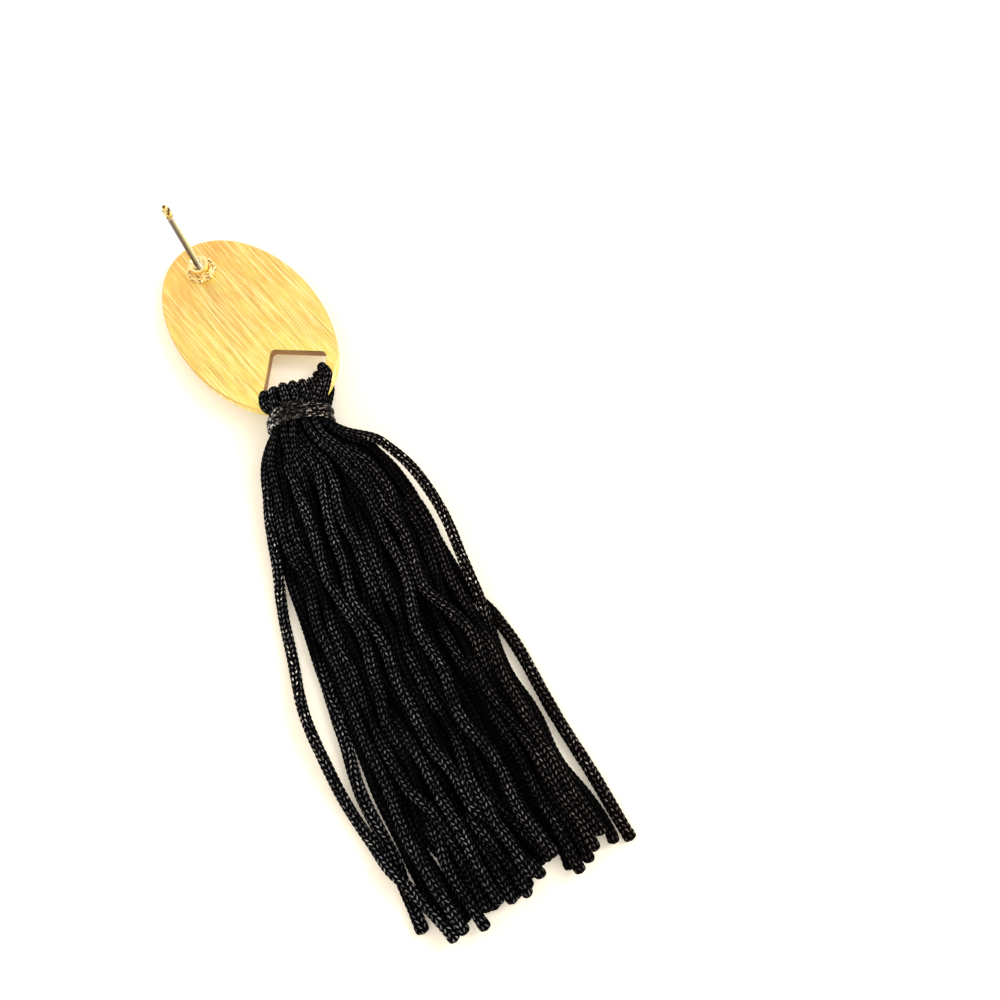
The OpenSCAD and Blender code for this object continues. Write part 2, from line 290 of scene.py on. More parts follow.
def goldPlate():
    # Pale gold plating on brass, brushed along the plate: long uneven strokes, the nearly white ones painted
    # highlights and the brown ones scratches with painted shade on them, and duller cut edges with a painted
    # highlight. The boss is the same gold left polished, and the post is bare steel wire gilded at its tip,
    # painted dark on one side as a dark reflection and with a painted highlight on the other.
    material, shader, add = newMaterial("pale gold plating, brushed")
    footY = plate["length"] / 2 - plate["postInset"] * math.cos(tilt) + plate["thickness"] * math.sin(tilt)
    footZ = plate["postInset"] * math.sin(tilt) + plate["thickness"] * math.cos(tilt)
    foot = Vector(toScene([0, footY, footZ]))
    turn = Matrix.Rotation(tilt, 3, "X")
    coords = add("TexCoord")
    # Plate's own axes in mm, with the post's foot at zero
    place = add("Mapping", {"Location": -(turn @ foot) * 1000, "Rotation": (tilt, 0, 0),
                            "Scale": (1000, 1000, 1000)}, {"Vector": coords.outputs["Object"]})
    parts = add("SeparateXYZ", links={"Vector": place})
    height = parts.outputs["Z"]
    flat = add("CombineXYZ", links={"X": parts.outputs["X"], "Y": parts.outputs["Y"]})
    radius = add("VectorMath", {"operation": "LENGTH"}, {0: flat})
    # Boss and post are what lies near the post's middle line and over a height
    masks = []
    for reach, base in ((plate["bossReach"], plate["bossBase"]),
                        (plate["postReach"], plate["bossHeight"] - plate["bossDish"])):
        near = add("Math", {"operation": "LESS_THAN", 1: reach}, {0: radius})
        over = add("Math", {"operation": "GREATER_THAN", 1: base}, {0: height})
        masks.append(add("Math", {"operation": "MULTIPLY"}, {0: near, 1: over}))
    boss, post = masks

    noise = {name: add("TexNoise", {"Scale": scale, "Detail": detail}, {"Vector": place})
             for name, (scale, detail) in gold["noises"].items()}
    patchScale = (1 / gold["patchGap"], 1 / gold["patchLength"], 1.0)
    stretched = add("Mapping", {"Scale": patchScale}, {"Vector": place})
    noise["patches"] = add("TexNoise", {"Scale": 1.0, "Detail": 3.0, "Roughness": 0.6}, {"Vector": stretched})
    # Paler towards the tassel's side, deeper towards the post's side
    tone = add("VectorMath", {"operation": "DOT_PRODUCT", 1: gold["slope"]}, {0: place})
    for name, share in gold["toneShares"].items():
        tone = add("Math", {"operation": "MULTIPLY_ADD", 1: share}, {0: noise[name], 2: tone})
    paleness = add("MapRange", {"From Min": 1.38, "From Max": 2.24}, {"Value": tone})
    brushed = add("Mix", {"data_type": "RGBA", 6: gold["deep"], 7: gold["pale"]}, {0: paleness})
    # Pale strokes are painted highlights and brown ones scratches with painted shade
    for tint, *stroke in gold["strokes"]:
        isStroke = strokes(add, place, *stroke)
        brushed = add("Mix", {"data_type": "RGBA", 7: gold[tint]}, {0: isStroke, 6: brushed})
    isLongest = isStroke

    # Cut faces: the sawn walls of the window are rose brown, partly a duller finish and partly painted shade
    # of the recess, and the bevelled edges a duller, paler gold with a painted edge highlight
    upright = add("VectorMath", {"operation": "DOT_PRODUCT", 1: (0, math.sin(tilt), math.cos(tilt))},
                  {0: coords.outputs["Normal"]})
    slant = add("Math", {"operation": "ABSOLUTE"}, {0: upright})
    isBevel = add("Math", {"operation": "COMPARE", 1: gold["bevelSlope"], 2: gold["bevelSpread"]}, {0: slant})
    isWall = add("Math", {"operation": "LESS_THAN", 1: gold["wallSlope"]}, {0: slant})
    # Distance from the oval's middle, which is 1 at its edge
    toShares = (2 / plate["width"], 2 / plate["length"], 0)
    footShare = (0, 1 - 2 * plate["postInset"] / plate["length"], 0)
    inShares = add("VectorMath", {"operation": "MULTIPLY_ADD", 1: toShares, 2: footShare}, {0: place})
    fromMiddle = add("VectorMath", {"operation": "LENGTH"}, {0: inShares})
    within = add("Math", {"operation": "LESS_THAN", 1: gold["windowShare"]}, {0: fromMiddle})
    inWindow = add("Math", {"operation": "MULTIPLY"}, {0: isWall, 1: within})
    withEdge = add("Mix", {"data_type": "RGBA", 7: gold["dullEdgeAndShine"]}, {0: isBevel, 6: brushed})
    withWall = add("Mix", {"data_type": "RGBA", 7: gold["dullWallAndShade"]}, {0: inWindow, 6: withEdge})
    # Solder leaves the foot of the boss lumpy, and brown spots on it are painted dark reflections
    atFoot = add("MapRange", {"From Min": 0.95, "From Max": 0.75}, {"Value": height})
    lumps = add("Math", {"operation": "MULTIPLY"}, {0: atFoot, 1: boss})
    darkReflectionNoise = add("MapRange", {"From Min": 0.52, "From Max": 0.60, "To Max": 0.75},
                  {"Value": noise["solder"]})
    darkReflectionMask = add("Math", {"operation": "MULTIPLY"}, {0: darkReflectionNoise, 1: lumps})
    bossColour = add("Mix", {"data_type": "RGBA", 6: gold["bossColour"], 7: gold["paintedDarkReflection"]}, {0: darkReflectionMask})
    withBoss = add("Mix", {"data_type": "RGBA"}, {0: boss, 6: withWall, 7: bossColour})
    # Steel wire of the post, with worn gilding and dark spots at its tip
    isSpot = add("MapRange", {"From Min": 0.5, "From Max": 0.58}, {"Value": noise["tipSpots"]})
    tip = add("Mix", {"data_type": "RGBA", 6: gold["tipColour"], 7: gold["tipSpot"]}, {0: isSpot})
    nearTip = add("MapRange", {"From Min": gold["tipFrom"], "From Max": gold["tipFull"]}, {"Value": height})
    # Painted light on the wire: dark on the picture's left as a reflection, a highlight on its right
    toRight = add("VectorMath", {"operation": "DOT_PRODUCT", 1: gold["postRight"]}, {0: place})
    inHighlight = add("MapRange", {"From Min": 0.08, "From Max": 0.30}, {"Value": toRight})
    wire = add("Mix", {"data_type": "RGBA", 6: gold["postColour"], 7: gold["postHighlight"]}, {0: inHighlight})
    steel = add("Mix", {"data_type": "RGBA"}, {0: nearTip, 6: wire, 7: tip})
    withPost = add("Mix", {"data_type": "RGBA"}, {0: post, 6: withBoss, 7: steel})

    gloss = gold["roughness"] - gold["strokeGloss"]
    roughness = add("MapRange", {"To Min": gold["roughness"], "To Max": gloss}, {"Value": isLongest})
    for mask, name in ((inWindow, "wallRoughness"), (boss, "bossRoughness"), (post, "postRoughness")):
        roughness = add("Mix", {"data_type": "FLOAT", 3: gold[name]}, {0: mask, 2: roughness})
    footRelief = add("Bump", {"Distance": gold["solderRelief"] / 1000},
                     {"Height": noise["solder"], "Strength": lumps})
    plain = add("Math", {"operation": "SUBTRACT", 0: 1.0}, {1: boss})
    depth = add("Math", {"operation": "MULTIPLY", 1: gold["strokeDepth"]}, {0: plain})
    relief = add("Bump", {"Distance": gold["strokeRelief"] / 1000},
                 {"Height": isLongest, "Strength": depth, "Normal": footRelief})
    setUp(shader, {"Metallic": 1.0}, {"Base Color": withPost, "Roughness": roughness, "Normal": relief})
    return material


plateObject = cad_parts["oval_plate"]
plateObject.data.materials.clear()
plateObject.data.materials.append(goldPlate())
print("plate is brushed gold")


cords = {
    "diameter": 1.2,
    "neckDiameter": 0.82,     # bound cords are pressed together
    "gap": 0.1,
    "floor": 0.005,           # nothing of a cord is lower than this
    "pressed": 1.13,          # widening of the lower strands under the upper ones' weight
    "relief": 0.25,           # depth of the braid as a share of the cord's radius
    "around": 32,
    "step": 0.135,
    "smoothRounds": 6,
    "smoothShare": 0.25,
}
braid = {
    "columns": 8,             # columns of yarn crowns round the cord; each two make up a row of Vs
    "stitch": 0.56,           # mm from one crown to the next in a column
    "slant": 0.95,            # stitches that a crown climbs across its column
    "spin": 0.07,             # turns that the cord twists to and fro
    "spinLength": 11.0,       # mm
    "rippleLength": 4.1,
    "foldedShift": 0.31,      # mm by which a cord's braid starts later than the last one's
    "innerShift": 0.23,
}
# Heat-sealed tips, in mm from the end: the braid melts into a smooth, slightly swollen, blunt tip
seal = {
    "meltAt": 0.25,
    "meltLength": 0.45,
    "meltHeight": 0.72,       # relief of the melted braid
    "swell": 0.07,
    "swellAt": 0.55,
    "swellLength": 0.5,
    "rounding": 0.34,
    "flatShare": 0.02,
}
neck = {
    "width": 6.2,
    "height": 4.6,
    "x": -2.5,
    "drop": 0.9,
    "lean": 28.0,
    "thread": 0.45,
    "turns": 4,
    "innerOval": (1.75, 0.95),     # half axes of the ovals that the strands start on
    "outerOval": (2.69, 1.89),
    "slack": 0.02,
}
loops = {
    "columns": 8,             # loops side by side round the rim
    "squeeze": 0.71,          # cord diameters from one to the next under the rim
    "fan": 1.24,              # how much wider the row is over the rim
    "rowX": -0.55,
    "shift": 0.4,             # mm that the row moves over the rim
    "firstShift": 0.2,        # mm that its first loop is nearer to the others there
    "lean": 8.0,
    "depthAt": [-1, -0.6, -0.3, 0, 0.35, 1],    # shares of the half row
    "depth": [0.6, 1.3, 1.7, 1.5, 0.95, 0.55],  # cord diameters
    "doubled": (1, 2, 3, 4),  # columns with a second loop inside the first
    "part": {"in": 0.25, "out": 0.75},          # where the two lie in the depth
    "holeGap": 1.6,           # gaps between a loop and the rim's inner edge
    "underGap": 0.06,
    "bend": 0.72,
    "corner": 0.74,           # a loop's corner over the rim, as a share of its depth
    "halfWidths": [0.52, 0.53, 0.54, 0.58, 0.62],    # shares of the pitch, from under the rim to over it
    "firstHalfWidth": 0.75,
    "underHeight": 0.46,
    "dip": 0.1,               # mm by which a cord clears the plate below and above
    "hump": 0.15,
    "bulge": 0.12,            # mm by which it swells up before the neck
    "bulgeAt": 0.55,
    "bulgeWidth": 0.96,
    # Painted light on each part of a loop, as a share
    "openness": {"under": 0.6, "over": 0.8, "in": 0.7, "out": 0.95},
}
tasselLean = 12.6
neckMid = np.array([neck["x"], -plate["length"] / 2 * math.sqrt(1 - (neck["x"] / (plate["width"] / 2)) ** 2)
                    - neck["drop"]])
neckZ = neck["thread"] + cords["gap"] + neck["height"] / 2
wrapHeight = neck["turns"] * neck["thread"]

# Strands of the tassel, left to right: the loop that each comes from and its ring (out, in), or None for
# a strand that starts inside the neck; its place across the tassel at the distances in markers; place
# and distance of its tip; from where to where it rides on top of the others, if it does. All in mm.
markers = [5, 12, 20, 28, 36, 44]
upperStrands = [
    ((0, "out"), [-6.4, -8.6, -11.0, -12.5, -12.7, -11.4], (-8.5, 53.3)),
    ((1, "out"), [-5.3, -6.5, -7.3, -7.9, -8.2, -8.6], (-7.6, 53.1), (38, 58)),
    ((1, "in"), [-3.2, -4.3, -4.2, -4.7, -5.4, -6.3], (-5.8, 53.7), (-9, 33)),
    (None, [-4.2, -5.4, -6.0, -6.6, -6.8, -5.2], (-4.6, 52.4)),
    ((2, "out"), [-2.6, -3.2, -5.2, -5.7, -4.4, -4.0], (-3.4, 52.3), (30, 58)),
    ((2, "in"), [-0.5, -2.2, -3.0, -2.9, -2.8, -1.6], (0.9, 52.0), (-9, 50)),
    ((3, "out"), [-1.6, -1.4, -2.2, -3.9, -3.4, -2.9], (-1.9, 52.8)),
    ((3, "in"), [0.5, -0.4, -1.1, -1.8, -1.9, -2.0], (-0.6, 52.8), (-9, 24)),
    (None, [0.6, 0.8, -0.2, -0.4, -0.6, -0.9], (0.0, 51.3), (34, 58)),
    ((4, "out"), [1.7, 3.0, 2.2, 1.1, 1.3, 2.1], (2.6, 50.9), (-9, 58)),
    (None, [1.4, 1.9, 1.0, 0.3, 0.4, 0.6], (2.2, 51.0)),
    ((4, "in"), [3.0, 4.9, 4.2, 3.2, 4.2, 4.4], (4.4, 53.3), (-9, 16)),
    ((5, "out"), [2.6, 4.2, 3.6, 5.2, 5.9, 5.6], (5.4, 52.8), (-9, 38)),
    (None, [3.9, 5.4, 5.6, 4.2, 4.9, 6.2], (6.4, 52.2), (36, 58)),
    ((6, "out"), [5.4, 6.4, 6.4, 6.6, 6.5, 7.0], (7.4, 51.2), (24, 58)),
    ((7, "out"), [6.0, 8.4, 8.5, 7.4, 7.0, 7.5], (8.4, 52.4), (-9, 30)),
]
lowerStrands = [
    ((0, "out"), [-5.7, -7.6, -8.5, -9.7, -10.8, -10.9], (-11.1, 51.3)),
    (None, [-5.0, -6.3, -7.0, -8.4, -9.2, -9.5], (-8.8, 52.6)),
    ((1, "out"), [-4.4, -5.6, -6.3, -7.2, -7.8, -8.1], (-7.0, 52.3)),
    ((1, "in"), [-3.7, -4.7, -5.4, -6.1, -6.6, -6.7], (-5.4, 52.2)),
    ((2, "out"), [-3.0, -3.8, -4.4, -4.9, -5.3, -5.3], (-4.2, 52.5)),
    (None, [-2.3, -2.9, -3.3, -3.8, -4.1, -4.0], (-3.0, 52.0)),
    ((2, "in"), [-1.6, -2.0, -2.3, -2.6, -2.8, -2.7], (-1.8, 52.6)),
    ((3, "out"), [-0.9, -1.0, -1.3, -1.4, -1.6, -1.4], (-0.6, 52.4)),
    ((3, "in"), [-0.2, -0.1, -0.3, -0.3, -0.4, -0.2], (0.6, 51.6)),
    (None, [0.5, 0.8, 0.7, 0.8, 0.8, 1.0], (1.7, 51.0)),
    ((4, "out"), [1.2, 1.7, 1.7, 1.9, 2.1, 2.2], (2.9, 50.9)),
    ((4, "in"), [1.9, 2.6, 2.7, 3.0, 3.3, 3.4], (4.1, 52.6)),
    ((5, "out"), [2.7, 3.6, 3.8, 4.1, 4.5, 4.6], (5.1, 52.4)),
    (None, [3.5, 4.3, 4.5, 5.1, 5.6, 5.8], (6.3, 51.8)),
    ((6, "out"), [4.3, 5.2, 5.4, 6.2, 6.8, 7.0], (7.5, 51.0)),
    ((7, "out"), [5.2, 6.0, 6.3, 8.6, 9.2, 9.5], (10.2, 52.9)),
]


def direction(degrees):
    return np.array([-math.sin(math.radians(degrees)), -math.cos(math.radians(degrees))])


def across(degrees):
    return np.array([math.cos(math.radians(degrees)), -math.sin(math.radians(degrees))])


def smoothThrough(points, steps):
    # Smooth curve through points, with the same number of steps between each two
    p = np.asarray(points, float)
    p = np.vstack([2 * p[0] - p[1], p, 2 * p[-1] - p[-2]])
    s = np.linspace(0, 1, steps, endpoint=False)[:, None]
    out = []
    for a, b, c, d in zip(p, p[1:], p[2:], p[3:]):
        out.append(0.5 * (2 * b + (c - a) * s + (2 * a - 5 * b + 4 * c - d) * s ** 2
                          + (3 * (b - c) + d - a) * s ** 3))
    return np.vstack(out + [p[-2][None]])


def evenSteps(points, step, extras):
    # The same path in even steps; extras are values that go along with each point
    lengths = np.concatenate([[0], np.cumsum(np.linalg.norm(np.diff(points, axis=0), axis=1))])
    count = max(int(round(lengths[-1] / step)), 2)
    at = np.linspace(0, lengths[-1], count + 1)
    path = np.stack([np.interp(at, lengths, points[:, k]) for k in range(3)], axis=1)
    return path, at, [np.interp(at, lengths, e) for e in extras]


# Cross-sections of the tassel: where each one stands and how it is turned
sectionAt = np.concatenate([np.linspace(-0.9, 0.9, 5), np.arange(1.5, 54.2, 0.75)])


def rising(start, length):
    # Rises from 0 to 1 over a length of the tassel, from start on
    return ease((sectionAt - start) / length)


turned = rising(0.9, 5.1)
sectionLean = mix(neck["lean"], tasselLean, turned)
sectionMid = np.stack([neckMid + t * mix(direction(neck["lean"]), direction(tasselLean), w)
                       for t, w in zip(sectionAt, turned)])
sectionAcross = np.stack([across(a) for a in sectionLean])
sectionRadius = mix(cords["neckDiameter"], cords["diameter"], rising(0.6, 9.5)) / 2
sectionPressed = 1 + (cords["pressed"] - 1) * rising(3, 6)

# How the strands are laid. Lengths are in mm, and the last values are for one round of the relaxation.
pile = {
    "seed": 7,
    "edgePlace": 9,           # strands that end farther out follow the outline closely
    "wander": 0.42,
    "wanderLengths": (8, 15),
    "edgeWander": 0.25,
    "lowerWander": 0.4,
    "rise": 0.5,              # by which the upper strands rise and sink where they don't ride
    "riseLengths": (18, 30),
    "rideHeight": 1.15,       # that the topmost strands lie above the others
    "rideFade": 9,
    "upperHeight": 2.75,      # cord radii
    "upperLift": 0.35,
    # The painted light on each strand
    "lightShares": (0.5, 0.9),      # of the light, from strand to strand
    "tipShare": 0.7,
    "sparks": 0.45,
    "lowSparks": 0.4,         # what is left of the sparks near the tips
    "press": 0.95,            # cords press into each other by the rest of their diameter
    "rounds": 420,
    "pull": (0.06, 0.035),    # towards a strand's place, in the first round and in the last
    "hold": 0.05,             # towards the height in the neck
    "sink": 0.012,
    "lift": 0.06,             # of riding strands, towards their height
    "smooth": 0.15,
    "push": 0.42,             # of the overlap with a neighbour
    "give": 0.7,
}


def startInNeck(rank, upper, inner):
    # Outer strands lie along the neck's edge and inner ones within them
    angle = math.pi * (1 - (rank + 0.5) / loops["columns"])
    wide, high = neck["innerOval"] if inner else neck["outerOval"]
    return wide * math.cos(angle), neckZ + high * math.sin(angle) * (1 if upper else -1)


def layStrands():
    # Lays all strands side by side: each is drawn to its place in the table, sinks to the paper or the
    # strands below it, and is pushed off its neighbours. Also tells how open each lies to the light, which
    # sets the shade painted on strands deep in the pile and the sparks painted on the outermost ones.
    rows = [(s, True) for s in upperStrands] + [(s, False) for s in lowerStrands]
    counters = {}
    places, heights, lifts, tips, shares = [], [], [], [], []
    random = np.random.default_rng(pile["seed"])
    # Near the tips the pile is thin, and all strands see the light, so they get less painted shade
    nearTips = rising(36, 12)
    # Painted white sparks stand on the outermost strands, fewer towards the tips
    sparks = pile["sparks"] * rising(3, 3) * mix(1, pile["lowSparks"], rising(24, 8))
    for (source, row, (tipPlace, tipAt), *ride), upper in rows:
        inner = source is None or source[1] == "in"
        rank = counters.get((upper, inner), 0)
        counters[(upper, inner)] = rank + 1
        neckPlace, neckHeight = startInNeck(rank, upper, inner)
        knots = np.array([-1.0, 1.0] + markers + [tipAt])
        values = np.array([neckPlace, neckPlace * 1.04] + row + [tipPlace])
        curve = smoothThrough(np.stack([knots, values], axis=1), 12)
        l = np.interp(sectionAt, curve[:, 0], curve[:, 1])
        phases, lengths = random.uniform(0, fullTurn, 2), random.uniform(*pile["wanderLengths"], 2)
        waves = sum(np.sin(sectionAt * fullTurn / length + phase) for length, phase in zip(lengths, phases))
        atEdge = abs(row[-1]) > pile["edgePlace"]
        fade = rising(4, 8) * (pile["edgeWander"] if atEdge else 1 if upper else pile["lowerWander"])
        l = l + fade * pile["wander"] * waves / 1.5
        rides = 0 * sectionAt
        for start, end in ride:
            rides = rising(start, pile["rideFade"]) * ease((end - sectionAt) / pile["rideFade"])
        riseLength, risePhase = random.uniform(*pile["riseLengths"]), random.uniform(0, fullTurn)
        lying = sectionRadius * (pile["upperHeight"] if upper else 1) + rides * pile["rideHeight"]
        if upper:
            rise = pile["rise"] * np.sin(sectionAt * fullTurn / riseLength + risePhase)
            lying = lying + (1 - rides) * rise
        places.append(l)
        heights.append(mix(neckHeight, lying, rising(0.6, 8.5)))
        lifts.append(np.maximum(rides, pile["upperLift"] if upper else 0))
        tips.append(tipAt)
        # Painted light: some strands catch it well and some poorly
        share = random.uniform(*pile["lightShares"])
        share = mix(share, 1.0, np.maximum(rides, pile["tipShare"] * nearTips))
        shares.append(1 + sparks if atEdge or source == (7, "out") else share)
    goal, goalZ, lift = np.array(places), np.array(heights), np.array(lifts)
    l, z = goal.copy(), goalZ.copy()
    radius = sectionRadius[None, :]
    bound = ease(1 - (sectionAt - 0.9) / 1.2)[None, :]
    present = np.array([sectionAt <= tip + 0.75 for tip in tips])
    pair = present[:, None, :] & present[None, :, :]
    upTo = 2 * pile["press"] * sectionRadius[None, None, :]
    wide = neck["width"] / 2 - sectionRadius + neck["slack"]
    high = neck["height"] / 2 - sectionRadius + neck["slack"]
    count = len(l)
    for turn in range(pile["rounds"]):
        l += (goal - l) * mix(*pile["pull"], turn / pile["rounds"])
        z += (goalZ - z) * bound * pile["hold"] - (1 - bound) * pile["sink"] \
            + np.clip(goalZ - z, -0.6, 1) * lift * pile["lift"]
        for values in (l, z):
            middle = (values[:, :-2] + values[:, 2:]) / 2
            values[:, 1:-1] += pile["smooth"] * (middle - values[:, 1:-1])
        for again in range(2):
            dl = l[:, None, :] - l[None, :, :]
            dz = z[:, None, :] - z[None, :, :]
            apart = np.sqrt(dl ** 2 + dz ** 2) + 1e-6
            push = np.clip(upTo - apart, 0, None) * pair * pile["push"]
            push[np.arange(count), np.arange(count)] = 0
            l += (dl / apart * push).sum(axis=1) * pile["give"]
            z += (dz / apart * push).sum(axis=1) * pile["give"]
            z = np.maximum(z, radius)
            # Inside the neck nothing leaves the binding
            out = np.sqrt((l / wide) ** 2 + ((z - neckZ) / high) ** 2)
            inside = np.where((sectionAt < 1.0)[None, :], 1 / np.maximum(out, 1), 1)
            l, z = l * inside, neckZ + (z - neckZ) * inside
            z = np.maximum(z, radius)
    # How far other strands close by rise above each one, which sets the painted shade on it
    near = pair * ease(2.4 - np.abs(l[:, None, :] - l[None, :, :]) / (0.75 * cords["diameter"]))
    above = (near * (z[None, :, :] - z[:, None, :])).max(axis=1)
    for again in range(4):
        above[:, 1:-1] = (above[:, :-2] + 2 * above[:, 1:-1] + above[:, 2:]) / 4
    openness = (1 - ease(above / cords["diameter"] / (1 + 0.6 * nearTips))) * np.array(shares)
    points = sectionMid[None] + l[:, :, None] * sectionAcross[None]
    return np.concatenate([points, z[:, :, None], openness[:, :, None]], axis=2), tips


def tilted(x, y, z):
    half = plate["length"] / 2
    return np.array([x, half + (y - half) * math.cos(tilt) + z * math.sin(tilt),
                     (half - y) * math.sin(tilt) + z * math.cos(tilt)])


def loopX(column, top):
    pitch = loops["squeeze"] * cords["diameter"] * mix(1, loops["fan"], top)
    nearer = loops["firstShift"] * top if column == 0 else 0
    return loops["rowX"] - top * loops["shift"] + (column - (loops["columns"] - 1) / 2) * pitch + nearer


def loopPoint(column, top, along, up):
    # Point of a loop's route: along is its distance from the rim's middle line towards the tassel
    x = loopX(column, top)
    midLong, midWide = plate["length"] / 2 - plate["rim"] / 2, plate["width"] / 2 - plate["rim"] / 2
    slope = math.sqrt(1 - (x / midWide) ** 2)
    rim = tilted(x, -midLong * slope, plate["thickness"] / 2)
    out = np.array([x / midWide ** 2, -slope / midLong])
    out /= np.linalg.norm(out)
    lean = direction(loops["lean"])
    run = lean / (out @ lean)
    return np.array([rim[0] + run[0] * along, rim[1] + run[1] * along, rim[2] + up])


def loopRoute(column, ring):
    # Middle line of one loop round the rim, from under the neck to over it, and half its width and height
    share = (column - (loops["columns"] - 1) / 2) / (loops["columns"] / 2)
    deep = np.interp(share, loops["depthAt"], loops["depth"]) * cords["diameter"]
    double = column in loops["doubled"]
    part = loops["part"][ring] if double else 0.5
    half = deep / 4 if double else deep / 2
    hole = plate["rim"] / 2 + loops["holeGap"] * cords["gap"]
    lift = plate["thickness"] / 2 + cords["gap"]
    drop = lift + loops["underGap"]
    below = loopPoint(column, 0, 0, -drop)[2]
    bend = loops["bend"] * mix(below, deep, 0.5)
    corner = loops["corner"] * deep * part
    points = [
        loopPoint(column, 0, 0, -drop - below * part),
        loopPoint(column, 0, -hole - bend * part, -drop - bend * part),
        loopPoint(column, 0, -hole - deep * part, 0),
        loopPoint(column, 0.5, -hole - corner, lift + corner),
        loopPoint(column, 1, 0, lift + deep * part),
    ]
    pitch = loops["squeeze"] * cords["diameter"]
    sides = [pitch * width for width in loops["halfWidths"]]
    if column == 0:
        sides[-1] = pitch * loops["firstHalfWidth"]
    return points, sides, [min(below / 2, loops["underHeight"]), half, half, half, half]


def routeOf(source, lower, upper):
    # Whole route of one folded cord, from the tip of one leg through its loop to the tip of the other, with
    # half its width and height and its openness to the light
    column, ring = source
    middle, sides, ups = loopRoute(column, ring)
    radius = cords["neckDiameter"] / 2
    over = loopPoint(column, 1, 0, plate["thickness"] / 2 + cords["gap"])[2] + radius
    under = loopPoint(column, 0, 0, -plate["thickness"] / 2 - cords["gap"])[2] - radius
    low, high = lower[0].copy(), upper[0].copy()
    low[2] = min(low[2], under - loops["dip"])
    high[2] = max(high[2], over + loops["hump"])
    low[3], high[3] = loops["openness"]["under"], loops["openness"]["over"]
    middle = [np.append(p, loops["openness"][ring]) for p in middle]
    bulge = mix(middle[-1], high, loops["bulgeAt"]) + [0, 0, loops["bulge"], 0]
    points = np.vstack([lower[:1:-1], low, middle, bulge, high, upper[2:]])
    lowR, highR = sectionRadius[2:len(lower)][::-1], sectionRadius[2:len(upper)]
    pressed = sectionPressed[2:len(lower)][::-1]
    swollen = loops["bulgeWidth"] * sides[-1]
    sideOf = np.concatenate([lowR * pressed, [radius], sides, [swollen, radius], highR])
    upOf = np.concatenate([lowR / pressed, [radius], ups, [mix(ups[-1], radius, 0.5), radius], highR])
    return points, sideOf, upOf


def trimmed(points, tipAt):
    # Sections up to the strand's tip, which stands between two of them
    last = int(np.searchsorted(sectionAt, tipAt))
    share = (tipAt - sectionAt[last - 1]) / (sectionAt[last] - sectionAt[last - 1])
    return np.vstack([points[:last], mix(points[last - 1], points[last], share)])


def braidHeight(u, s):
    # Relief of the braid from 0 to 1: columns of slanting yarn crowns, leaning left and right by turns, so
    # that each two columns make Vs. u runs once round the cord and s along it in mm. braidedNylon draws
    # the same pattern.
    x = braid["columns"] * u
    climb = braid["slant"] * np.abs((x + 1) % 2 - 1)
    return np.sqrt(np.abs(np.sin(math.pi * x) * np.cos(math.pi * (s / braid["stitch"] + climb))))


def cornersOf(values):
    # Values of two neighbouring rings at the four corners of the faces between them
    return np.stack([values[:-1], values[:-1], values[1:], values[1:]], axis=1)


def meshFrom(name, rings, material, distances, spins):
    # Tube through rings of points in mm, closed at both ends. Its UV map holds the share of the way round,
    # plus the ring's own spin, and the distance along in mm.
    mesh = bpy.data.meshes.new(name)
    count, around = rings.shape[:2]
    k = np.arange(around)
    base = (np.arange(count - 1) * around)[:, None]
    quads = np.stack([base + k, base + (k + 1) % around, base + around + (k + 1) % around,
                      base + around + k], axis=2).reshape(-1, 4)
    corners = np.concatenate([quads.ravel(), k[::-1], (count - 1) * around + k])
    starts = np.concatenate([np.arange(len(quads)) * 4, [len(quads) * 4, len(quads) * 4 + around]])
    totals = np.concatenate([np.full(len(quads), 4), [around, around]])
    mesh.vertices.add(count * around)
    mesh.vertices.foreach_set("co", toScene(rings).astype(np.float32).ravel())
    mesh.loops.add(len(corners))
    mesh.loops.foreach_set("vertex_index", corners.astype(np.int32))
    mesh.polygons.add(len(starts))
    mesh.polygons.foreach_set("loop_start", starts.astype(np.int32))
    mesh.polygons.foreach_set("loop_total", totals.astype(np.int32))
    mesh.update(calc_edges=True)
    mesh.polygons.foreach_set("use_smooth", np.ones(len(starts), bool))
    u = np.stack([k, k + 1, k + 1, k], axis=1)[None] / around + cornersOf(spins)[:, None]
    s = np.broadcast_to(cornersOf(distances)[:, None], u.shape)
    caps = [np.tile([0.0, distances[end]], (around, 1)) for end in (0, -1)]
    layer = mesh.uv_layers.new(name="alongCord")
    flat = np.stack([u, s], axis=3).reshape(-1, 2)
    layer.data.foreach_set("uv", np.concatenate([flat] + caps).astype(np.float32).ravel())
    mesh.materials.append(material)
    obj = bpy.data.objects.new(name, mesh)
    bpy.context.collection.objects.link(obj)
    return obj


def framesAlong(path, firstSide):
    # Directions across the path that turn with it and never twist
    heads = np.gradient(path, axis=0)
    heads /= np.linalg.norm(heads, axis=1)[:, None]
    sides = np.empty_like(path)
    side = np.asarray(firstSide, float)
    for k, head in enumerate(heads):
        side = side - head * (side @ head)
        side /= np.linalg.norm(side)
        sides[k] = side
    return sides, np.cross(heads, sides)


def ringsRound(path, firstSide, reachSide, reachUp, floor):
    # Rings of points round a path. Their reach is given for each point, to the side and up.
    sides, ups = framesAlong(path, firstSide)
    around = reachSide.shape[1]
    angle = 2 * np.pi * (np.arange(around) / around)
    rings = (path[:, None, :] + sides[:, None, :] * (np.cos(angle) * reachSide)[..., None]
             + ups[:, None, :] * (np.sin(angle) * reachUp)[..., None])
    rings[..., 2] = np.maximum(rings[..., 2], floor)
    return rings


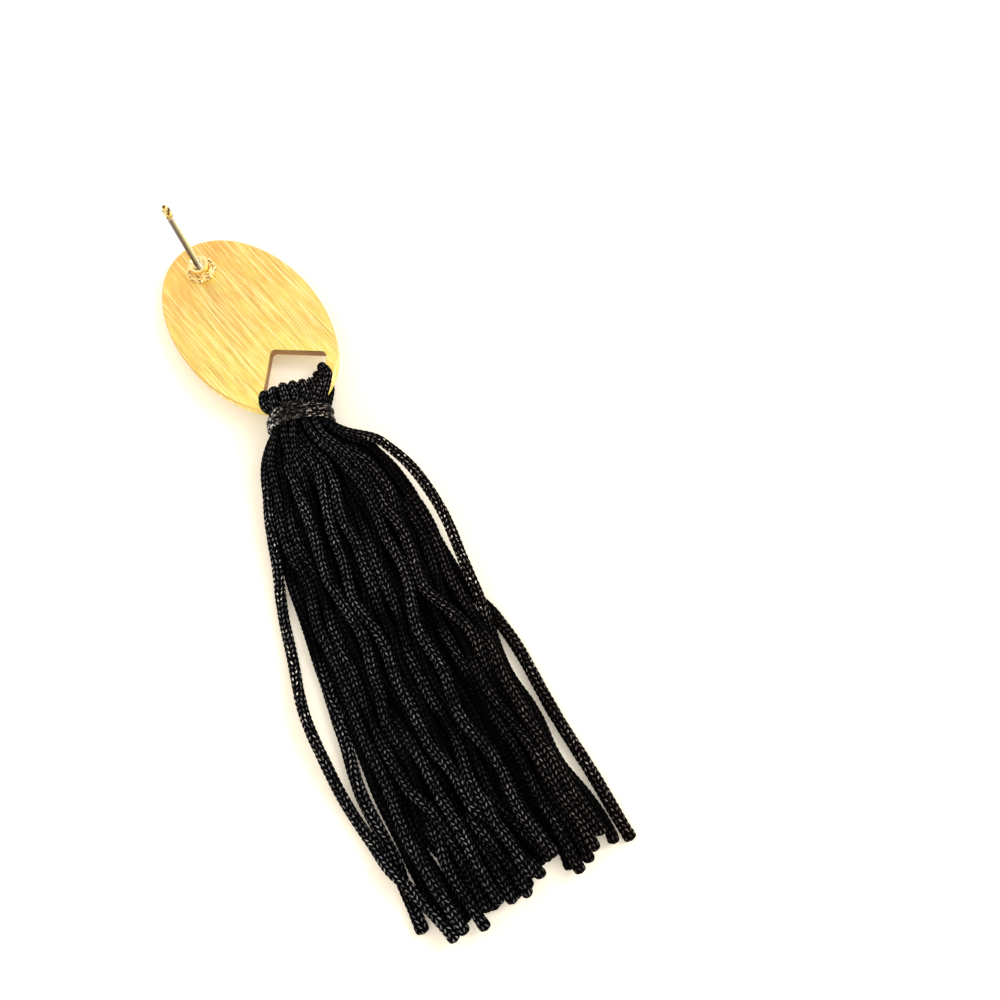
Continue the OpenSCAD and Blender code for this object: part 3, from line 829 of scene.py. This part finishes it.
def braidedCord(name, points, sideOf, upOf, material, sealedStart, phase):
    # One cord along its route. A strand that starts inside the neck has no sealed start.
    rough = smoothThrough(np.column_stack([points, sideOf, upOf]), 6)
    path, at, (openness, sideR, upR) = evenSteps(rough[:, :3], cords["step"], rough[:, 3:].T)
    for again in range(cords["smoothRounds"]):
        path[1:-1] += cords["smoothShare"] * (path[:-2] + path[2:] - 2 * path[1:-1])
    fromEnd = np.minimum(at, at[-1] - at) if sealedStart else at[-1] - at
    melted = ease(1 - (fromEnd - seal["meltAt"]) / seal["meltLength"])
    swell = 1 + seal["swell"] * ease(1 - np.abs(fromEnd - seal["swellAt"]) / seal["swellLength"])
    fromCap = 1 - np.clip(fromEnd / seal["rounding"], 0, 1)
    blunt = np.sqrt(np.clip(1 - fromCap ** 2, seal["flatShare"], 1))
    u = np.arange(cords["around"]) / cords["around"]
    spin = braid["spin"] * (np.sin(at / braid["spinLength"] * fullTurn + phase * 5)
                            + np.sin(at / braid["rippleLength"] + phase * 3))
    height = braidHeight(u[None, :] + spin[:, None], at[:, None] + phase)
    height = mix(height, seal["meltHeight"], melted[:, None])
    shape = (1 - cords["relief"] * (1 - height)) * (swell * blunt)[:, None]
    rings = ringsRound(path, (1, 0, 0), sideR[:, None] * shape, upR[:, None] * shape, cords["floor"])
    piece = meshFrom(name, rings, material, at + phase, spin)
    layer = piece.data.attributes.new("openness", "FLOAT", "POINT")
    layer.data.foreach_set("value", np.repeat(openness, cords["around"]).astype(np.float32))
    return piece


nylon = {
    "valley": "#020203",
    # Painted glints on the yarn crowns
    "coolCrownGlint": "#8A8D96",
    "warmCrownGlint": "#7E6A66",
    # Painted white sparks
    "spark": "#F1EAE0",
    "crownStart": 0.84,       # height of the braid and its fibres where the shine begins
    "crownFull": 1.2,
    # Painted light left on the strands deepest in the pile
    "deepest": 0.08,
    "roughness": 0.46,
    "valleyRoughness": 0.85,
    "fibreShare": 0.5,
    "fibreRelief": 0.02,      # mm
    "noises": {               # spots to a metre, and detail
        "unevenness": (900.0, 1.0),
        "fibres": (1000 / 0.07, 2.0),   # single filaments are 0.02 mm and would not show
        "speckle": (2100.0, 1.0),
        "patch": (230.0, 2.0),
        "flecks": (2900.0, 0.0),
    },
    "warp": (0.07, 0.4, 0),         # turns and mm that the unevenness shifts the braid by
    "warmSide": (70.0, -16.0, 0),   # across the tassel, in a metre
}


def braidedNylon():
    # Black nylon, braided round. The crowns of its yarns get painted glints, small grey dashes where they
    # catch the light, some brighter than others; between them it stays black. The painted greys are cool on
    # the picture's left and warm on its right.
    material, shader, add = newMaterial("black nylon, braided")
    place = add("TexCoord").outputs["Object"]
    cordMap = add("UVMap", {"uv_map": "alongCord"})
    noise = {name: add("TexNoise", {"Scale": scale, "Detail": detail}, {"Vector": place})
             for name, (scale, detail) in nylon["noises"].items()}
    # Hand-laid braid is never quite even
    warped = add("VectorMath", {"operation": "MULTIPLY_ADD", 1: nylon["warp"]},
                 {0: noise["unevenness"].outputs["Color"], 2: cordMap})
    ways = add("SeparateXYZ", links={"Vector": warped})
    x = add("Math", {"operation": "MULTIPLY", 1: braid["columns"]}, {0: ways.outputs["X"]})
    climb = add("Math", {"operation": "PINGPONG", 1: 1.0}, {0: x})
    y = add("Math", {"operation": "MULTIPLY", 1: math.pi / braid["stitch"]}, {0: ways.outputs["Y"]})
    shifted = add("Math", {"operation": "MULTIPLY_ADD", 1: math.pi * braid["slant"]}, {0: climb, 2: y})
    column = add("Math", {"operation": "MULTIPLY", 1: math.pi}, {0: x})
    columnWave = add("Math", {"operation": "SINE"}, {0: column})
    stitchWave = add("Math", {"operation": "COSINE"}, {0: shifted})
    crossed = add("Math", {"operation": "MULTIPLY"}, {0: columnWave, 1: stitchWave})
    height = add("Math", {"operation": "ABSOLUTE"}, {0: crossed})
    frayed = add("Math", {"operation": "MULTIPLY_ADD", 1: nylon["fibreShare"]},
                 {0: noise["fibres"], 2: height})
    crown = add("MapRange", {"interpolation_type": "SMOOTHSTEP", "From Min": nylon["crownStart"],
                             "From Max": nylon["crownFull"]},
                {"Value": frayed})
    # One painted glint in a few is much brighter than the rest
    bright = add("MapRange", {"From Min": 0.36, "From Max": 0.72, "To Min": 0.1}, {"Value": noise["speckle"]})
    broad = add("MapRange", {"From Min": 0.38, "From Max": 0.62, "To Min": 0.55}, {"Value": noise["patch"]})
    # Painted shade: strands deep in the pile stay dark
    openness = add("Attribute", {"attribute_name": "openness"}).outputs["Fac"]
    lit = add("MapRange", {"From Min": 0.22, "From Max": 0.95, "To Min": nylon["deepest"]},
              {"Value": openness})
    shine = bright
    for mask in (lit, broad, crown):
        shine = add("Math", {"operation": "MULTIPLY"}, {0: shine, 1: mask})
    warmth = add("VectorMath", {"operation": "DOT_PRODUCT", 1: nylon["warmSide"]}, {0: place})
    crownColour = add("Mix", {"data_type": "RGBA", 6: nylon["coolCrownGlint"], 7: nylon["warmCrownGlint"]}, {0: warmth})
    colour = add("Mix", {"data_type": "RGBA", 6: nylon["valley"]}, {0: shine, 7: crownColour})
    # Painted sparks of window light on the outermost cords
    spark = add("MapRange", {"From Min": 1.05, "From Max": 1.4}, {"Value": openness})
    isFleck = add("MapRange", {"From Min": 0.60, "From Max": 0.66}, {"Value": noise["flecks"]})
    for mask in (isFleck, crown):
        spark = add("Math", {"operation": "MULTIPLY"}, {0: spark, 1: mask})
    sparked = add("Mix", {"data_type": "RGBA", 7: nylon["spark"]}, {0: spark, 6: colour})
    rough = add("MapRange", {"To Min": nylon["valleyRoughness"], "To Max": nylon["roughness"]},
                {"Value": crown})
    relief = add("Bump", {"Strength": 0.3, "Distance": nylon["fibreRelief"] / 1000},
                 {"Height": noise["fibres"]})
    setUp(shader, {"IOR": 1.53, "Specular IOR Level": 0.025},
          {"Base Color": sparked, "Roughness": rough, "Normal": relief})
    return material


def makeTassel():
    material = braidedNylon()
    strands, tips = layStrands()
    legs = [trimmed(points, tip) for points, tip in zip(strands, tips)]
    rows = upperStrands + lowerStrands
    half = len(upperStrands)
    made = []
    for k, (source, *_) in enumerate(rows[:half]):
        if source is None:
            continue
        other = half + [row[0] for row in lowerStrands].index(source)
        points, sideOf, upOf = routeOf(source, legs[other], legs[k])
        name = "foldedCord%d%s" % (source[0] + 1, source[1])
        made.append(braidedCord(name, points, sideOf, upOf, material, True, braid["foldedShift"] * k))
    for k, (source, *_) in enumerate(rows):
        if source is not None:
            continue
        points = legs[k][1:]
        reach = slice(1, 1 + len(points))
        pressed = 1 if k < half else sectionPressed[reach]
        sideOf, upOf = sectionRadius[reach] * pressed, sectionRadius[reach] / pressed
        name = "innerStrand%d" % (k + 1)
        made.append(braidedCord(name, points, sideOf, upOf, material, False, braid["innerShift"] * k))
    for piece in made:
        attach(piece, "root")
        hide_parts("tassel")
    return made


tassel = makeTassel()
print("tassel has", len(tassel), "pieces,", sum(len(p.data.polygons) for p in tassel) * 2, "triangles")


thread = {
    "colour": "#050507",
    # Painted glints on the thread's plies
    "glint": "#F2F5FF",
    "warmGlint": "#D8CCC2",
    "roughness": 0.5,
    "noises": {"speckle": (3000.0, 1.0), "patch": (420.0, 1.0)},    # spots to a metre, and detail
    "warmSide": (250.0, 0, 0),
    "plies": 3,
    "twist": 1.1,             # mm for one turn of a ply
    "plyRelief": 0.14,
    "around": 10,
    "step": 0.1,
    "diameter": 0.25,
    "floor": 0.003,
    "turns": 7,
    "overTurns": 5,
    "perTurn": 90,
    "overWidth": 0.8,         # share of the bed that the turns over it go back
    "rideHeight": 1.75,       # thread radii
    "uneven": 0.22,
    "unevenWaves": (0.37, 1.31),
    "start": 0.75,            # half turns from the neck's right side
    "tuck": 0.35,             # radians at each end that go on under the others
    "tuckFade": 0.5,
    "tuckDepth": 1.2,         # thread radii
}


def sewingThread():
    # Twisted polyester sewing thread: black, with a short painted glint on some turns of its plies,
    # bluish on the picture's left and brown on its right
    material, shader, add = newMaterial("black polyester thread, twisted")
    place = add("TexCoord").outputs["Object"]
    threadMap = add("UVMap", {"uv_map": "alongCord"})
    plyTurns = (math.pi * thread["plies"], math.pi / thread["twist"], 0)
    turns = add("VectorMath", {"operation": "DOT_PRODUCT", 1: plyTurns}, {0: threadMap})
    wave = add("Math", {"operation": "COSINE"}, {0: turns})
    height = add("Math", {"operation": "ABSOLUTE"}, {0: wave})
    crown = add("MapRange", {"From Min": 0.45, "From Max": 0.9}, {"Value": height})
    noise = {name: add("TexNoise", {"Scale": scale, "Detail": detail}, {"Vector": place})
             for name, (scale, detail) in thread["noises"].items()}
    bright = add("MapRange", {"From Min": 0.51, "From Max": 0.58}, {"Value": noise["speckle"]})
    broad = add("MapRange", {"From Min": 0.42, "From Max": 0.56, "To Min": 0.15}, {"Value": noise["patch"]})
    # The neck's left end gets painted shine all over
    toRight = add("VectorMath", {"operation": "DOT_PRODUCT", 1: thread["warmSide"]}, {0: place})
    leftEnd = add("MapRange", {"From Min": 1.15, "From Max": 0.85}, {"Value": toRight})
    share = add("Math", {"operation": "MAXIMUM"}, {0: broad, 1: leftEnd})
    lit = add("Math", {"operation": "MULTIPLY"}, {0: bright, 1: share})
    shine = add("Math", {"operation": "MULTIPLY"}, {0: crown, 1: lit})
    warmth = add("MapRange", {"From Min": 0.7, "From Max": 1.5}, {"Value": toRight})
    glint = add("Mix", {"data_type": "RGBA", 6: thread["glint"], 7: thread["warmGlint"]}, {0: warmth})
    colour = add("Mix", {"data_type": "RGBA", 6: thread["colour"]}, {0: shine, 7: glint})
    setUp(shader, {"Roughness": thread["roughness"], "IOR": 1.57, "Specular IOR Level": 0.06},
          {"Base Color": colour})
    return material


def wrapNeck():
    # One thread wound round the neck in a bed of close turns and then back over them in a few open ones.
    # Both ends are tucked under.
    radius = thread["diameter"] / 2
    under, over = thread["turns"], thread["overTurns"]
    turns = under + over
    tuck = thread["tuck"]
    angle = np.linspace(-tuck, 2 * np.pi * turns + tuck, thread["perTurn"] * turns)
    done = np.clip(angle / (2 * np.pi), 0, turns)
    wide = wrapHeight / 2 - radius
    back = mix(wide, -wide * thread["overWidth"], (done - under) / over)
    along = np.where(done < under, mix(-wide, wide, done / under), back)
    slow, quick = thread["unevenWaves"]
    wobble = thread["uneven"] * (np.sin(angle * slow + 1.0) + np.sin(angle * quick))
    along = np.clip(along + wobble, -wide, wide)
    # The second layer rides on the first, and the ends sink
    layer = ease((done - under + 0.15) / 0.3)
    outside = ease(np.minimum(angle + tuck, angle[-1] - angle) / thread["tuckFade"])
    rise = (cords["gap"] * 0.4 + radius * (1 + thread["rideHeight"] * layer)
            - (1 - outside) * radius * thread["tuckDepth"])
    angle = angle + math.pi * thread["start"]
    sideways = ((neck["width"] / 2 + rise) * np.cos(angle))[:, None] * across(neck["lean"])
    flat = neckMid + sideways + along[:, None] * direction(neck["lean"])
    z = neckZ + (neck["height"] / 2 + rise) * np.sin(angle)
    path, at, _ = evenSteps(np.column_stack([flat, z]), thread["step"], [])
    u = np.arange(thread["around"]) / thread["around"]
    plies = np.abs(np.cos(np.pi * (thread["plies"] * u[None, :] + at[:, None] / thread["twist"])))
    ends = np.sqrt(np.clip(np.minimum(at, at[-1] - at) / 0.2, 0.05, 1))
    reach = radius * (1 - thread["plyRelief"] * (1 - plies)) * ends[:, None]
    rings = ringsRound(path, (*direction(neck["lean"]), 0), reach, reach, thread["floor"])
    piece = meshFrom("neckThread", rings, sewingThread(), at, 0 * at)
    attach(piece, "root")
    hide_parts("neck_wrap")


wrapNeck()
print("neck is bound")
